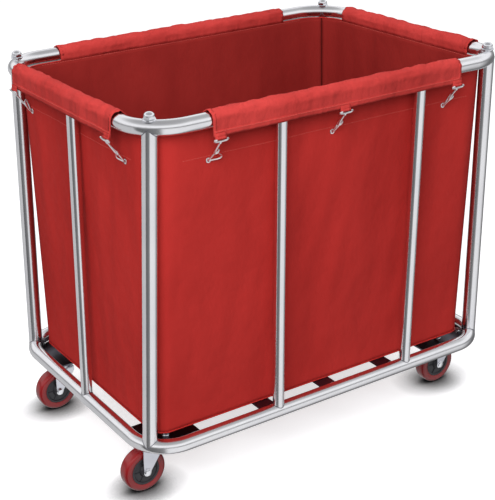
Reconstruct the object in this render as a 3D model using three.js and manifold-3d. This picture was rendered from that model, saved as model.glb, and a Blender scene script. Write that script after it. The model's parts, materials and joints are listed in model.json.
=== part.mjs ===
// Linen trolley for hospital wards: an open cloth bag hung inside a tubular steel frame, which stands on
// four swivel casters.
// Millimetres, +X along the length, +Y across it, +Z up. The origin is on the floor under the middle.

import * as THREE from "three";
import { ParametricGeometry } from "three/addons/geometries/ParametricGeometry.js";
import { mergeVertices } from "three/addons/utils/BufferGeometryUtils.js";
import Module from "manifold-3d";

const wasm = await Module();
wasm.setup();

// Driving dimensions

const GAP = 0.3; // between pieces that touch
const SIDES = 16; // facets round a tube
const WIRE_SIDES = 6;
const BOLT_SIDES = 12;
const WHEEL_SIDES = 24;
const BEND_STEPS = 6; // facets along a ring's bend

const RING_RADIUS = 16;
const RING_WALL = 1.5;
const RAIL = { halfLength: 456, halfWidth: 318, bend: 90, z: 838 }; // centre line of the top ring
const BASE = { halfLength: 466, halfWidth: 310, bend: 84, z: 146.5 }; // centre line of the base ring

const SIDE_POST_RADIUS = 12.5;
const POST_WALL = 1.2;
const LONG_POSTS_X = [-146, 214];
const SHORT_POSTS_Y = -24;
const POST_TOP_ANGLE = Math.PI / 4; // where a corner post meets the bends, from the short side
const POST_FOOT_ANGLE = Math.PI / 5;
const PLUG_DEPTH = 40; // threaded plug in the top of each corner post, below the rail's centre line
const WELD_VENT_RADIUS = 4; // hole in the base ring under each corner post

const STUD_RADIUS = 5;
const FLANGE_RADIUS = 13.5;
const FLANGE_HEIGHT = 3;
const HEX_RADIUS = 12.5;
const HEX_TOP = 7.5;
const DOME_RADIUS = 11;
const DOME_HEIGHT = 8;
const STUD_LENGTH = 55;

const SLAT_WIDTH = 40;
const SLAT_THICKNESS = 5;
const SLATS = [["slat_left", -165], ["slat_middle", 2], ["slat_right", 168]];
const SLAT_Z = BASE.z + 5;

const PLATE_THICKNESS = 3.8;
const PLATE_INNER_X = 318;
const PLATE_INNER_Y = 165;
const PLATE_OUTER_RADIUS = 78; // round the centre of the base ring's bend

const SWIVEL_X = 420;
const SWIVEL_Y = 210;
const TRAIL = 15; // from the swivel axis back to the axle
const WHEEL_RADIUS = 50;
const WHEEL_HALF_WIDTH = 16;
const HUB_RADIUS = 33;
const HUB_BOSS_RADIUS = 12;
const AXLE_RADIUS = 5;
const LEG_THICKNESS = 3;
const LEG_INNER = 19; // from the wheel's middle to a fork leg
const CROWN_Z = 104; // underside of the fork's crown
const CROWN_THICKNESS = 4;
const CASTER_TOP = BASE.z - RING_RADIUS - PLATE_THICKNESS - 2 * GAP;
const CASTER_PLATE_THICKNESS = 3.5;
const CASTER_PLATE_LENGTH = 80;
const CASTER_PLATE_WIDTH = 66;
const RACE_RADIUS = 24;
const KINGPIN_RADIUS = 6;

const CLOTH = 2.4; // the bag's cloth with its lining
const BAG_HALF_LENGTH = 418;
const BAG_HALF_WIDTH = 265;
const BAG_FLOOR_Z = SLAT_Z + SLAT_THICKNESS + 0.5;
const BAG_BEND = 34; // radius of the bag's vertical corners
const BAG_BEND_STEPS = 4;
const RIM_Z = 826; // top edge of the bag between two flaps
const SLANT_Z = 200; // above this the walls lean out to the rail
const RAIL_CLEARANCE = 1.2; // from the rail to the flap
const HEM_DROP = 29; // hem of a flap below the rail's centre
const HEM_FLARE = 1.5; // how far the hem hangs out past the flap's bend
const LONG_FLAP = [-318, 311];
const SHORT_FLAP_HALF = 222;

const WIRE = 1.8; // radius of a hook's wire
const YOKE_HALF = 14;
const HORN_LENGTH = 6; // at each end of the yoke
const HOOK_LENGTH = 41;
const HOOK_TILT = 0.62; // lean of a clipped hook from the vertical, towards the bag
const HOOK_PIVOT_Z = RAIL.z - HEM_DROP - 8.5; // in a short tab below the hem
const HOOK_OUT = 22.5; // from the rail's centre line out to the hook's pivot
const LONG_HOOKS_X = [-304, -4, 298];
const SHORT_HOOKS_Y = [-208, 208];

// Materials

function steel(color, roughness) {
  return new THREE.MeshStandardMaterial({ color, roughness, metalness: 1 });
}

const brushed = steel(0xc9ccd2, 0.32);
const zinc = steel(0xb9bcc4, 0.42);
const chrome = steel(0xdfe3ea, 0.12);
const redTread = new THREE.MeshStandardMaterial({ color: 0x8e1a1c, roughness: 0.35, metalness: 0 });
const blackHub = new THREE.MeshStandardMaterial({ color: 0x262429, roughness: 0.55, metalness: 0 });
const redCloth = new THREE.MeshStandardMaterial({ color: 0xb8322f, roughness: 0.85, metalness: 0 });

// Solids

function solid(geometry) {
  const bare = geometry.index ? geometry.toNonIndexed() : geometry.clone();
  bare.deleteAttribute("normal");
  bare.deleteAttribute("uv");
  const merged = mergeVertices(bare, 1e-3);
  return new wasm.Manifold(
    new wasm.Mesh({
      numProp: 3,
      vertProperties: merged.attributes.position.array,
      triVerts: new Uint32Array(merged.index.array),
    }),
  );
}

function geometryOf(made) {
  const mesh = made.getMesh();
  const geometry = new THREE.BufferGeometry();
  geometry.setAttribute("position", new THREE.BufferAttribute(mesh.vertProperties, 3));
  geometry.setIndex(new THREE.BufferAttribute(mesh.triVerts, 1));
  return geometry.toNonIndexed();
}

function joined(solids) {
  return solids.reduce((whole, piece) => whole.add(piece));
}

function part(name, geometry, material) {
  const mesh = new THREE.Mesh(geometry, material);
  mesh.geometry.computeVertexNormals();
  mesh.name = name;
  return mesh;
}

function disc(radius, sides = SIDES) {
  const points = [];
  for (let i = 0; i < sides; i += 1) {
    const angle = (2 * Math.PI * i) / sides;
    points.push(new THREE.Vector2(radius * Math.cos(angle), radius * Math.sin(angle)));
  }
  return new THREE.Shape(points);
}

function prism(shape, bottom, top) {
  const options = { depth: top - bottom, bevelEnabled: false, curveSegments: 6 };
  return new THREE.ExtrudeGeometry(shape, options).translate(0, 0, bottom);
}

function rod(radius, bottom, top, sides = SIDES) {
  return prism(disc(radius, sides), bottom, top);
}

// A prism whose outline is drawn in X and Z, running along Y from one place to another.
function prismAlongY(outline, from, to) {
  return prism(outline, -to, -from).rotateX(Math.PI / 2);
}

// A prism whose outline is drawn in Y and Z, running along X from one place to another.
function prismAlongX(outline, from, to) {
  return prism(outline, from, to).rotateX(Math.PI / 2).rotateZ(Math.PI / 2);
}

function block(x0, x1, y0, y1, z0, z1) {
  const geometry = new THREE.BoxGeometry(x1 - x0, y1 - y0, z1 - z0);
  return geometry.translate((x0 + x1) / 2, (y0 + y1) / 2, (z0 + z1) / 2);
}

function rodBetween(radius, from, to, sides = SIDES) {
  const options = { steps: 1, extrudePath: new THREE.LineCurve3(from, to) };
  return new THREE.ExtrudeGeometry(disc(radius, sides), options);
}

// A point on one bend of a ring: side 0 is the bend at +X and -Y, and the rest follow anticlockwise.
function bendPoint(ring, side, angle) {
  const x = side === 0 || side === 1 ? 1 : -1;
  const y = side === 1 || side === 2 ? 1 : -1;
  return new THREE.Vector3(
    x * (ring.halfLength - ring.bend) + ring.bend * Math.cos(angle),
    y * (ring.halfWidth - ring.bend) + ring.bend * Math.sin(angle),
    ring.z,
  );
}

// A ring's centre line as a path whose equal steps fall on its bends, with one step to each straight.
class RingLoop extends THREE.Curve {
  static stepsPerSide = BEND_STEPS + 1;

  constructor(ring) {
    super();
    this.ring = ring;
  }

  getUtoTmapping(u) {
    return u;
  }

  bendAngle(t) {
    const station = t * 4 * RingLoop.stepsPerSide;
    const side = Math.floor(station / RingLoop.stepsPerSide + 1e-9);
    const along = station - side * RingLoop.stepsPerSide;
    return { side, along, angle: (side - 1 + Math.min(along / BEND_STEPS, 1)) * (Math.PI / 2) };
  }

  getPoint(t) {
    const { side, along, angle } = this.bendAngle(t);
    const straightShare = Math.max(along - BEND_STEPS, 0);
    const start = bendPoint(this.ring, side % 4, angle);
    const end = bendPoint(this.ring, (side + 1) % 4, angle);
    return start.lerp(end, straightShare);
  }

  getTangent(t) {
    const { angle } = this.bendAngle(t);
    return new THREE.Vector3(-Math.sin(angle), Math.cos(angle), 0);
  }
}

function ringTube(ring, radius) {
  const steps = 4 * RingLoop.stepsPerSide;
  return solid(new THREE.ExtrudeGeometry(disc(radius), { steps, extrudePath: new RingLoop(ring) }));
}

// Frame: two tube rings, ten posts, slats, mounting plates and acorn nuts

const CORNERS = [
  { name: "fl", x: -1, y: -1 },
  { name: "fr", x: 1, y: -1 },
  { name: "br", x: 1, y: 1 },
  { name: "bl", x: -1, y: 1 },
];

const baseEnvelope = ringTube(BASE, RING_RADIUS + GAP);
const railEnvelope = ringTube(RAIL, RING_RADIUS + GAP);

// Where a corner post's axis meets a ring's centre line.
function postEnd(ring, corner, angle) {
  const point = bendPoint(ring, 1, angle);
  return new THREE.Vector3(corner.x * point.x, corner.y * point.y, point.z);
}

function postTop(corner) {
  return postEnd(RAIL, corner, POST_TOP_ANGLE);
}

function postFoot(corner) {
  return postEnd(BASE, corner, POST_FOOT_ANGLE);
}

function baseRing() {
  const tube = ringTube(BASE, RING_RADIUS).subtract(ringTube(BASE, RING_RADIUS - RING_WALL));
  const weldVents = CORNERS.map((corner) => {
    const { x, y, z } = postFoot(corner);
    return solid(rod(WELD_VENT_RADIUS, z, z + RING_RADIUS + 5, BOLT_SIDES).translate(x, y, 0));
  });
  return part("base_ring", geometryOf(tube.subtract(joined(weldVents))), brushed);
}

function topRing() {
  const tube = ringTube(RAIL, RING_RADIUS).subtract(ringTube(RAIL, RING_RADIUS - RING_WALL));
  const reach = RING_RADIUS + 5;
  const studHoles = CORNERS.map((corner) => {
    const { x, y, z } = postTop(corner);
    return solid(rod(STUD_RADIUS + GAP, z - reach, z + reach, BOLT_SIDES).translate(x, y, 0));
  });
  return part("top_ring", geometryOf(tube.subtract(joined(studHoles))), brushed);
}

// A tube from the base ring to the rail, hollow for a share of its height, its ends coped to saddle
// both rings.
function copedPost(foot, top, outer, boreRadius, boreShare) {
  const below = foot.clone().lerp(top, -0.05);
  const boreEnd = foot.clone().lerp(top, boreShare);
  const bore = solid(rodBetween(boreRadius, below, boreEnd));
  return solid(rodBetween(outer, foot, top)).subtract(baseEnvelope).subtract(railEnvelope).subtract(bore);
}

function cornerPosts() {
  const boreShare = 1 - PLUG_DEPTH / (RAIL.z - BASE.z);
  return CORNERS.map((corner) => {
    const top = postTop(corner);
    const tube = copedPost(postFoot(corner), top, RING_RADIUS, RING_RADIUS - RING_WALL, boreShare);
    const bore = rod(STUD_RADIUS + GAP, top.z - PLUG_DEPTH - 5, top.z + 20, BOLT_SIDES);
    const post = tube.subtract(solid(bore.translate(top.x, top.y, 0)));
    return part(`corner_post_${corner.name}`, geometryOf(post), brushed);
  });
}

function sidePosts() {
  const post = (name, footX, footY, topX, topY) => {
    const foot = new THREE.Vector3(footX, footY, BASE.z);
    const top = new THREE.Vector3(topX, topY, RAIL.z);
    const tube = copedPost(foot, top, SIDE_POST_RADIUS, SIDE_POST_RADIUS - POST_WALL, 1.05);
    return part(name, geometryOf(tube), brushed);
  };
  const posts = [
    post("post_left", -BASE.halfLength, SHORT_POSTS_Y, -RAIL.halfLength, SHORT_POSTS_Y),
    post("post_right", BASE.halfLength, SHORT_POSTS_Y, RAIL.halfLength, SHORT_POSTS_Y),
  ];
  LONG_POSTS_X.forEach((x, i) => {
    posts.push(post(`post_front_${i + 1}`, x, -BASE.halfWidth, x, -RAIL.halfWidth));
    posts.push(post(`post_back_${i + 1}`, x, BASE.halfWidth, x, RAIL.halfWidth));
  });
  return posts;
}

// One acorn nut with the stud that holds the top ring down on its corner post.
function acornNuts() {
  const dome = [
    new THREE.Vector2(0, HEX_TOP - 1),
    new THREE.Vector2(DOME_RADIUS, HEX_TOP - 1),
  ];
  for (let i = 0; i <= 3; i += 1) {
    const angle = (i * Math.PI) / 6;
    dome.push(new THREE.Vector2(DOME_RADIUS * Math.cos(angle), HEX_TOP + DOME_HEIGHT * Math.sin(angle)));
  }
  dome[dome.length - 1].x = 0;
  const nut = joined([
    solid(rod(STUD_RADIUS, -STUD_LENGTH, 1, BOLT_SIDES)),
    solid(rod(FLANGE_RADIUS, 0, FLANGE_HEIGHT, BOLT_SIDES)),
    solid(rod(HEX_RADIUS, FLANGE_HEIGHT - 1, HEX_TOP, 6)),
    solid(new THREE.LatheGeometry(dome, BOLT_SIDES).rotateX(Math.PI / 2)),
  ]);
  const geometry = geometryOf(nut);
  return CORNERS.map((corner) => {
    const nutMesh = part(`acorn_nut_${corner.name}`, geometry, chrome);
    nutMesh.position.copy(postTop(corner));
    nutMesh.position.z += RING_RADIUS + GAP;
    return nutMesh;
  });
}

function slats() {
  const y = BASE.halfWidth - 5;
  const half = SLAT_WIDTH / 2;
  const top = SLAT_Z + SLAT_THICKNESS;
  return SLATS.map(([name, x]) => {
    const bar = solid(block(x - half, x + half, -y, y, SLAT_Z, top));
    return part(name, geometryOf(bar.subtract(baseEnvelope)), brushed);
  });
}

// Plates welded under the base ring's corners, each carrying a caster.
function mountingPlates() {
  const cx = BASE.halfLength - BASE.bend;
  const cy = BASE.halfWidth - BASE.bend;
  const top = BASE.z - RING_RADIUS - GAP;
  return CORNERS.map(({ name, x, y }) => {
    const outline = new THREE.Shape();
    outline.moveTo(PLATE_INNER_X, PLATE_INNER_Y);
    outline.lineTo(cx + PLATE_OUTER_RADIUS, PLATE_INNER_Y);
    outline.absarc(cx, cy, PLATE_OUTER_RADIUS, 0, Math.PI / 2, false);
    outline.lineTo(PLATE_INNER_X, cy + PLATE_OUTER_RADIUS);
    const corners = outline.extractPoints(4).shape.map((p) => new THREE.Vector2(p.x * x, p.y * y));
    const plate = prism(new THREE.Shape(corners), top - PLATE_THICKNESS, top);
    return part(`mount_plate_${name}`, plate, brushed);
  });
}

// Casters: a top plate with its kingpin, a swivelling fork, and a wheel of tread, hub and axle bolt.
// Each piece is drawn about the swivel axis.

function casterPlate() {
  const bottom = CASTER_TOP - CASTER_PLATE_THICKNESS;
  const halfLength = CASTER_PLATE_LENGTH / 2;
  const halfWidth = CASTER_PLATE_WIDTH / 2;
  return geometryOf(
    joined([
      solid(block(-halfLength, halfLength, -halfWidth, halfWidth, bottom, CASTER_TOP)),
      solid(rod(RACE_RADIUS, bottom - 5, bottom + 1)),
      solid(rod(KINGPIN_RADIUS, CROWN_Z - 2, bottom, BOLT_SIDES)),
      solid(rod(KINGPIN_RADIUS + 4, CROWN_Z - 3, CROWN_Z - GAP, BOLT_SIDES)),
    ]),
  );
}

function casterFork() {
  const axleX = -TRAIL;
  const leg = new THREE.Shape();
  const outer = WHEEL_RADIUS - 8;
  leg.moveTo(axleX - 8, CROWN_Z + CROWN_THICKNESS);
  leg.lineTo(axleX - 8, WHEEL_RADIUS);
  leg.absarc(axleX, WHEEL_RADIUS, WHEEL_RADIUS - outer, Math.PI, 2 * Math.PI, false);
  leg.lineTo(axleX + 42, CROWN_Z - 6);
  leg.lineTo(axleX + 42, CROWN_Z + CROWN_THICKNESS);
  const far = LEG_INNER + LEG_THICKNESS;
  const raceBottom = CROWN_Z + CROWN_THICKNESS;
  const raceTop = CASTER_TOP - CASTER_PLATE_THICKNESS - 5 - GAP;
  const body = joined([
    solid(prismAlongY(leg, LEG_INNER, far)),
    solid(prismAlongY(leg, -far, -LEG_INNER)),
    solid(block(axleX - 8, axleX + 42, -far, far, CROWN_Z, raceBottom)),
    solid(rod(RACE_RADIUS - 2, raceBottom - 1, raceTop)),
  ]);
  const kingpinBore = solid(rod(KINGPIN_RADIUS + GAP, CROWN_Z - 5, CASTER_TOP, BOLT_SIDES));
  const axleBore = solid(axleRod(AXLE_RADIUS + GAP, far + 5));
  return geometryOf(body.subtract(kingpinBore).subtract(axleBore));
}

function axleRod(radius, halfWidth, sides = BOLT_SIDES) {
  return rod(radius, -halfWidth, halfWidth, sides).rotateX(Math.PI / 2).translate(-TRAIL, 0, WHEEL_RADIUS);
}

// A body of revolution about the axle from its profile of [radius, distance across].
function aboutAxle(profile) {
  const points = profile.map(([radius, across]) => new THREE.Vector2(radius, across));
  return new THREE.LatheGeometry(points, WHEEL_SIDES).translate(-TRAIL, 0, WHEEL_RADIUS);
}

function casterTread() {
  const inner = HUB_RADIUS + GAP;
  const edge = WHEEL_HALF_WIDTH;
  const shoulder = 6;
  return aboutAxle([
    [inner, -edge],
    [WHEEL_RADIUS - shoulder, -edge],
    [WHEEL_RADIUS, -edge + shoulder],
    [WHEEL_RADIUS, edge - shoulder],
    [WHEEL_RADIUS - shoulder, edge],
    [inner, edge],
    [inner, -edge],
  ]);
}

function casterHub() {
  const bore = AXLE_RADIUS + GAP;
  const edge = WHEEL_HALF_WIDTH - 1.5;
  const boss = LEG_INNER - 1;
  return aboutAxle([
    [bore, -boss],
    [HUB_BOSS_RADIUS, -boss],
    [HUB_RADIUS, -edge],
    [HUB_RADIUS, edge],
    [HUB_BOSS_RADIUS, boss],
    [bore, boss],
    [bore, -boss],
  ]);
}

function casterAxle() {
  const far = LEG_INNER + LEG_THICKNESS;
  const head = rod(8.5, far + GAP, far + 5, 6).rotateX(Math.PI / 2).translate(-TRAIL, 0, WHEEL_RADIUS);
  const nut = rod(8.5, -far - 6, -far - GAP, 6).rotateX(Math.PI / 2).translate(-TRAIL, 0, WHEEL_RADIUS);
  return geometryOf(joined([solid(axleRod(AXLE_RADIUS, far + 2)), solid(head), solid(nut)]));
}

function casters() {
  const pieces = [
    ["plate", casterPlate(), zinc],
    ["fork", casterFork(), zinc],
    ["tread", casterTread(), redTread],
    ["hub", casterHub(), blackHub],
    ["axle", casterAxle(), zinc],
  ];
  return CORNERS.map(({ name, x, y }) => {
    const caster = new THREE.Group();
    caster.position.set(x * SWIVEL_X, y * SWIVEL_Y, 0);
    pieces.forEach(([piece, geometry, material]) => {
      caster.add(part(`caster_${name}_${piece}`, geometry, material));
    });
    return caster;
  });
}

// Bag: a rounded box of cloth, open above, whose walls lean out to the rail and turn over it as flaps

const BAG_LEVELS = [
  { z: BAG_FLOOR_Z, lean: 0 },
  { z: SLANT_Z, lean: 0 },
  { z: RIM_Z, lean: 1 },
];

// A place on the bag's outer face, moved inwards by an inset. Lean 0 is the bag's own outline, and lean 1
// follows the rail's inner side.
function bagPoint(side, angle, lean, inset) {
  const x = side === 0 || side === 3 ? 1 : -1;
  const y = side === 0 || side === 1 ? 1 : -1;
  const radius = THREE.MathUtils.lerp(BAG_BEND, RAIL.bend - RING_RADIUS - RAIL_CLEARANCE, lean);
  const centreX = THREE.MathUtils.lerp(BAG_HALF_LENGTH - BAG_BEND, RAIL.halfLength - RAIL.bend, lean);
  const centreY = THREE.MathUtils.lerp(BAG_HALF_WIDTH - BAG_BEND, RAIL.halfWidth - RAIL.bend, lean);
  return new THREE.Vector2(
    x * centreX + (radius - inset) * Math.cos(angle),
    y * centreY + (radius - inset) * Math.sin(angle),
  );
}

function bagShell() {
  const section = [
    ...BAG_LEVELS.map((level) => ({ ...level, inset: 0 })),
    ...BAG_LEVELS.toReversed().map((level) => ({ ...level, inset: CLOTH })),
  ];
  const perSide = BAG_BEND_STEPS + 1;
  const around = 4 * perSide;
  const place = (u, v, target) => {
    const station = Math.round(u * around) % around;
    const { z, lean, inset } = section[Math.round(v * section.length) % section.length];
    const side = Math.floor(station / perSide);
    const angle = (side + (station % perSide) / BAG_BEND_STEPS) * (Math.PI / 2);
    const { x, y } = bagPoint(side, angle, lean, inset);
    target.set(x, y, z);
  };
  return solid(new ParametricGeometry(place, around, section.length));
}

// The cloth that goes up over the rail and down to its hem, drawn as [distance from the middle, height].
function flapSection(railAt) {
  const near = RING_RADIUS + RAIL_CLEARANCE;
  const far = near + CLOTH;
  const outline = new THREE.Shape();
  outline.moveTo(railAt - near, RIM_Z - 2);
  outline.absarc(railAt, RAIL.z, near, Math.PI, 0, true);
  outline.lineTo(railAt + near + HEM_FLARE, RAIL.z - HEM_DROP);
  outline.lineTo(railAt + far + HEM_FLARE, RAIL.z - HEM_DROP);
  outline.absarc(railAt, RAIL.z, far, 0, Math.PI, false);
  outline.lineTo(railAt - far, RIM_Z - 2);
  return outline;
}

// The plan of one panel's share of the bag, which meets its neighbours on the diagonals of the corners.
function panelShare(long) {
  const reach = 400;
  const diagonal = RAIL.halfLength - RAIL.halfWidth + (long ? -GAP : GAP);
  const points = long
    ? [[-diagonal, 0], [diagonal, 0], [diagonal + reach, reach], [-diagonal - reach, reach]]
    : [[diagonal, 0], [diagonal + reach, -reach], [diagonal + reach, reach]];
  const outline = new THREE.Shape(points.map(([x, y]) => new THREE.Vector2(x, y)));
  return solid(prism(outline, BAG_FLOOR_Z - 5, RAIL.z));
}

function bag() {
  const shell = bagShell();
  const backShare = shell.intersect(panelShare(true));
  const rightShare = shell.intersect(panelShare(false));
  const longFlap = (from, to) => solid(prismAlongX(flapSection(RAIL.halfWidth), from, to));
  const shortFlap = solid(prismAlongY(flapSection(RAIL.halfLength), -SHORT_FLAP_HALF, SHORT_FLAP_HALF));
  const panels = [
    ["bag_back", backShare.add(longFlap(LONG_FLAP[0], LONG_FLAP[1])), 0],
    ["bag_front", backShare.add(longFlap(-LONG_FLAP[1], -LONG_FLAP[0])), Math.PI],
    ["bag_right", rightShare.add(shortFlap), 0],
    ["bag_left", rightShare.add(shortFlap), Math.PI],
  ];
  const floorOutline = [];
  for (let side = 0; side < 4; side += 1) {
    for (let step = 0; step <= BAG_BEND_STEPS; step += 1) {
      floorOutline.push(bagPoint(side, (side + step / BAG_BEND_STEPS) * (Math.PI / 2), 0, CLOTH + GAP));
    }
  }
  const floor = prism(new THREE.Shape(floorOutline), BAG_FLOOR_Z, BAG_FLOOR_Z + CLOTH);
  const walls = panels.map(([name, made, turn]) => {
    const panel = part(name, geometryOf(made), redCloth);
    panel.rotation.z = turn;
    return panel;
  });
  return [...walls, part("bag_floor", floor, redCloth)];
}

// Hooks: wire snaps that hang from the flaps' hems and clip to the bag below the rail

function wireBar(length) {
  return rod(WIRE, -length, 0, WIRE_SIDES);
}

// A hook drawn about its yoke, hanging along -Z, with the bag on its +Y side.
function hookGeometry() {
  const yoke = solid(rod(WIRE, -YOKE_HALF, YOKE_HALF, WIRE_SIDES).rotateY(Math.PI / 2));
  const horns = [-1, 1].map((side) =>
    solid(wireBar(HORN_LENGTH).rotateX(Math.PI * 0.86).translate(side * (YOKE_HALF - WIRE), 0, 0)),
  );
  const stem = solid(wireBar(HOOK_LENGTH));
  const toe = solid(wireBar(9).rotateX(Math.PI / 2).translate(0, -WIRE, -HOOK_LENGTH + WIRE));
  const tongue = solid(wireBar(9).rotateX(Math.PI * 0.92).translate(0, 7, -HOOK_LENGTH + WIRE));
  return geometryOf(joined([yoke, stem, toe, tongue, ...horns]));
}

function hooks() {
  const geometry = hookGeometry();
  const longOut = RAIL.halfWidth + HOOK_OUT;
  const shortOut = RAIL.halfLength + HOOK_OUT;
  const places = [];
  LONG_HOOKS_X.forEach((x, i) => {
    places.push([`hook_front_${i + 1}`, x, -longOut, 0]);
    places.push([`hook_back_${i + 1}`, x, longOut, Math.PI]);
  });
  SHORT_HOOKS_Y.forEach((y, i) => {
    places.push([`hook_left_${i + 1}`, -shortOut, y, -Math.PI / 2]);
    places.push([`hook_right_${i + 1}`, shortOut, y, Math.PI / 2]);
  });
  return places.map(([name, x, y, turn]) => {
    const lean = new THREE.Group();
    lean.position.set(x, y, HOOK_PIVOT_Z);
    lean.rotation.z = turn;
    const hook = part(name, geometry, zinc);
    hook.rotation.x = HOOK_TILT;
    lean.add(hook);
    return lean;
  });
}

const trolley = new THREE.Group();
trolley.add(baseRing(), topRing(), ...cornerPosts(), ...sidePosts(), ...acornNuts());
trolley.add(...slats(), ...mountingPlates(), ...casters(), ...bag(), ...hooks());

export default trolley;
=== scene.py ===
import json
import math

import bpy
from mathutils import Matrix, Vector, noise


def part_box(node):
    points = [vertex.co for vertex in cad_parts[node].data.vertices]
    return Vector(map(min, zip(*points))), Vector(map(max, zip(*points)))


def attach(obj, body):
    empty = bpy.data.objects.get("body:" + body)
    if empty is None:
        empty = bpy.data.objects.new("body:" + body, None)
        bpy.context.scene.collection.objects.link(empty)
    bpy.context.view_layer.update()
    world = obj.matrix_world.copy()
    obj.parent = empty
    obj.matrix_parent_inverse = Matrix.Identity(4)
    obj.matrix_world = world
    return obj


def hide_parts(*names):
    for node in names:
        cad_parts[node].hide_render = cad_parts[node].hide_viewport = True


# A linen trolley for hospital wards: a cloth bag hung in a tubular steel frame on four swivel casters.
# Lengths are in metres, in the frame of the CAD model: +X along the length, +Y across it, +Z up.

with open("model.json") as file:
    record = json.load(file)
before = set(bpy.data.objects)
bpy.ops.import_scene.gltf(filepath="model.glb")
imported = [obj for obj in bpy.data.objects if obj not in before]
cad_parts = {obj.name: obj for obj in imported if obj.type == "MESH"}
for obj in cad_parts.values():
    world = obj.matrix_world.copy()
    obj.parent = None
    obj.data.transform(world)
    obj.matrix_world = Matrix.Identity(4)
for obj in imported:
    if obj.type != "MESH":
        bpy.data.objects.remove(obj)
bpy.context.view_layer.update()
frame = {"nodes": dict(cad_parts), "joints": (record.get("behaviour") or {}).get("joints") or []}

MM = 0.001

# Sizes that the CAD boxes don't hold by themselves

TUBE = 16 * MM  # radius of the rings and the corner posts
SIDE_POST = 12.5 * MM  # radius
RAIL_BEND = 90 * MM
BASE_BEND = 84 * MM
POST_TOP_ANGLE = math.radians(45)
POST_FOOT_ANGLE = math.radians(36)
CLOTH = 1.6 * MM  # thickness, a little full
BAG_BEND = 34 * MM  # of the corners at the bag's foot
BAG_HALF_LENGTH = 428 * MM
BAG_HALF_WIDTH = 270 * MM
RIM_Z = 826 * MM  # where the walls turn over the rail
SLANT_Z = 200 * MM  # the walls are upright below this
FLAP_GAP = 1.2 * MM  # from the rail to the flap
HEM_DROP = 29 * MM  # from the rail's middle to the hem
HEM_STITCH_RISE = 9.5 * MM
HOOK_TILT = 0.62  # radians, of the stem towards the bag
HOOK_LENGTH = 41  # in millimetres, like the rest of a hook's points
SEAM_Z = 760 * MM
EYELET_Z = 751 * MM
WALL_ROWS = 62
FLOOR_RINGS = 14
FLOOR_CENTRE = 0.02  # the innermost ring's share of the floor
FLOOR_GLOW = 0.62
CONTACT_SHADOW_REACH = 70 * MM  # how near a thing has to be to get a painted contact shadow on the studio's floor
# the power that tightens the floor's painted contact shadow
CONTACT_SHADOW_DEPTH = 4.0
CORNERS = {"fl": (-1, -1), "fr": (1, -1), "br": (1, 1), "bl": (-1, 1)}


class Ring:
    """A ring of tube in a level plane: its centre line is a rounded rectangle."""

    def __init__(self, node, bend):
        low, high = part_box(node)
        self.half_length = high.x - TUBE
        self.half_width = high.y - TUBE
        self.z = (low.z + high.z) / 2
        self.bend = bend

    def bend_point(self, sign_x, sign_y, angle):
        """The point on one corner's bend at an angle from the X axis."""
        x = self.half_length - self.bend + self.bend * math.cos(angle)
        y = self.half_width - self.bend + self.bend * math.sin(angle)
        return Vector((sign_x * x, sign_y * y, self.z))

    def path(self, steps=16):
        points = []
        for quarter, (sign_x, sign_y) in enumerate([(1, 1), (-1, 1), (-1, -1), (1, -1)]):
            for step in range(steps + 1):
                angle = math.radians(90) * step / steps
                if quarter % 2:
                    angle = math.radians(90) - angle
                points.append(self.bend_point(sign_x, sign_y, angle))
        return points

    def offset(self, x, y):
        """How far outside the centre line a place is, in plan."""
        past_x = abs(x) - (self.half_length - self.bend)
        past_y = abs(y) - (self.half_width - self.bend)
        outside = math.hypot(max(past_x, 0), max(past_y, 0))
        return outside + min(max(past_x, past_y), 0) - self.bend


RAIL = Ring("top_ring", RAIL_BEND)
BASE = Ring("base_ring", BASE_BEND)
BAG_FLOOR_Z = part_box("bag_floor")[0].z


# Materials

def nodes_of(material):
    tree = material.node_tree
    return tree.nodes, tree.links, tree.nodes["Principled BSDF"]


def new_material(name, colour, roughness, metallic=0.0):
    material = bpy.data.materials.new(name)
    material.use_nodes = True
    shader = material.node_tree.nodes["Principled BSDF"]
    shader.inputs["Base Color"].default_value = (*colour, 1)
    shader.inputs["Roughness"].default_value = roughness
    shader.inputs["Metallic"].default_value = metallic
    return material


def noise_field(material, scale, stretch=(1, 1, 1), detail=3.0):
    """A noise texture in object coordinates, stretched along the axes."""
    nodes, links, _ = nodes_of(material)
    coordinates = nodes.new("ShaderNodeTexCoord")
    mapping = nodes.new("ShaderNodeMapping")
    mapping.inputs["Scale"].default_value = stretch
    texture = nodes.new("ShaderNodeTexNoise")
    texture.inputs["Scale"].default_value = scale
    texture.inputs["Detail"].default_value = detail
    links.new(coordinates.outputs["Object"], mapping.inputs["Vector"])
    links.new(mapping.outputs["Vector"], texture.inputs["Vector"])
    return texture.outputs["Fac"]


def ramp(material, field, low, high, low_at=0.35, high_at=0.65):
    """Turns a field into a number or a colour between two values."""
    nodes, links, _ = nodes_of(material)
    stops = nodes.new("ShaderNodeValToRGB")
    first, last = stops.color_ramp.elements
    first.position = low_at
    last.position = high_at
    first.color = (*low, 1) if hasattr(low, "__len__") else (low, low, low, 1)
    last.color = (*high, 1) if hasattr(high, "__len__") else (high, high, high, 1)
    links.new(field, stops.inputs["Fac"])
    return stops.outputs["Color"]


def bump(material, height, strength, distance):
    nodes, links, shader = nodes_of(material)
    node = nodes.new("ShaderNodeBump")
    node.inputs["Strength"].default_value = strength
    node.inputs["Distance"].default_value = distance
    links.new(height, node.inputs["Height"])
    previous = shader.inputs["Normal"].links
    if previous:
        links.new(previous[0].from_socket, node.inputs["Normal"])
    links.new(node.outputs["Normal"], shader.inputs["Normal"])


def feed(material, socket, value):
    _, links, shader = nodes_of(material)
    links.new(value, shader.inputs[socket])


def steel(name, light, dark, roughness, grain):
    material = new_material(name, light, roughness, metallic=1.0)
    feed(material, "Base Color", ramp(material, noise_field(material, 9.0), dark, light))
    streaks = noise_field(material, 60.0, grain)
    feed(material, "Roughness", ramp(material, streaks, roughness, roughness + 0.08))
    bump(material, noise_field(material, 500.0, grain, 2.0), 0.03, 0.0001)
    return material


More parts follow.
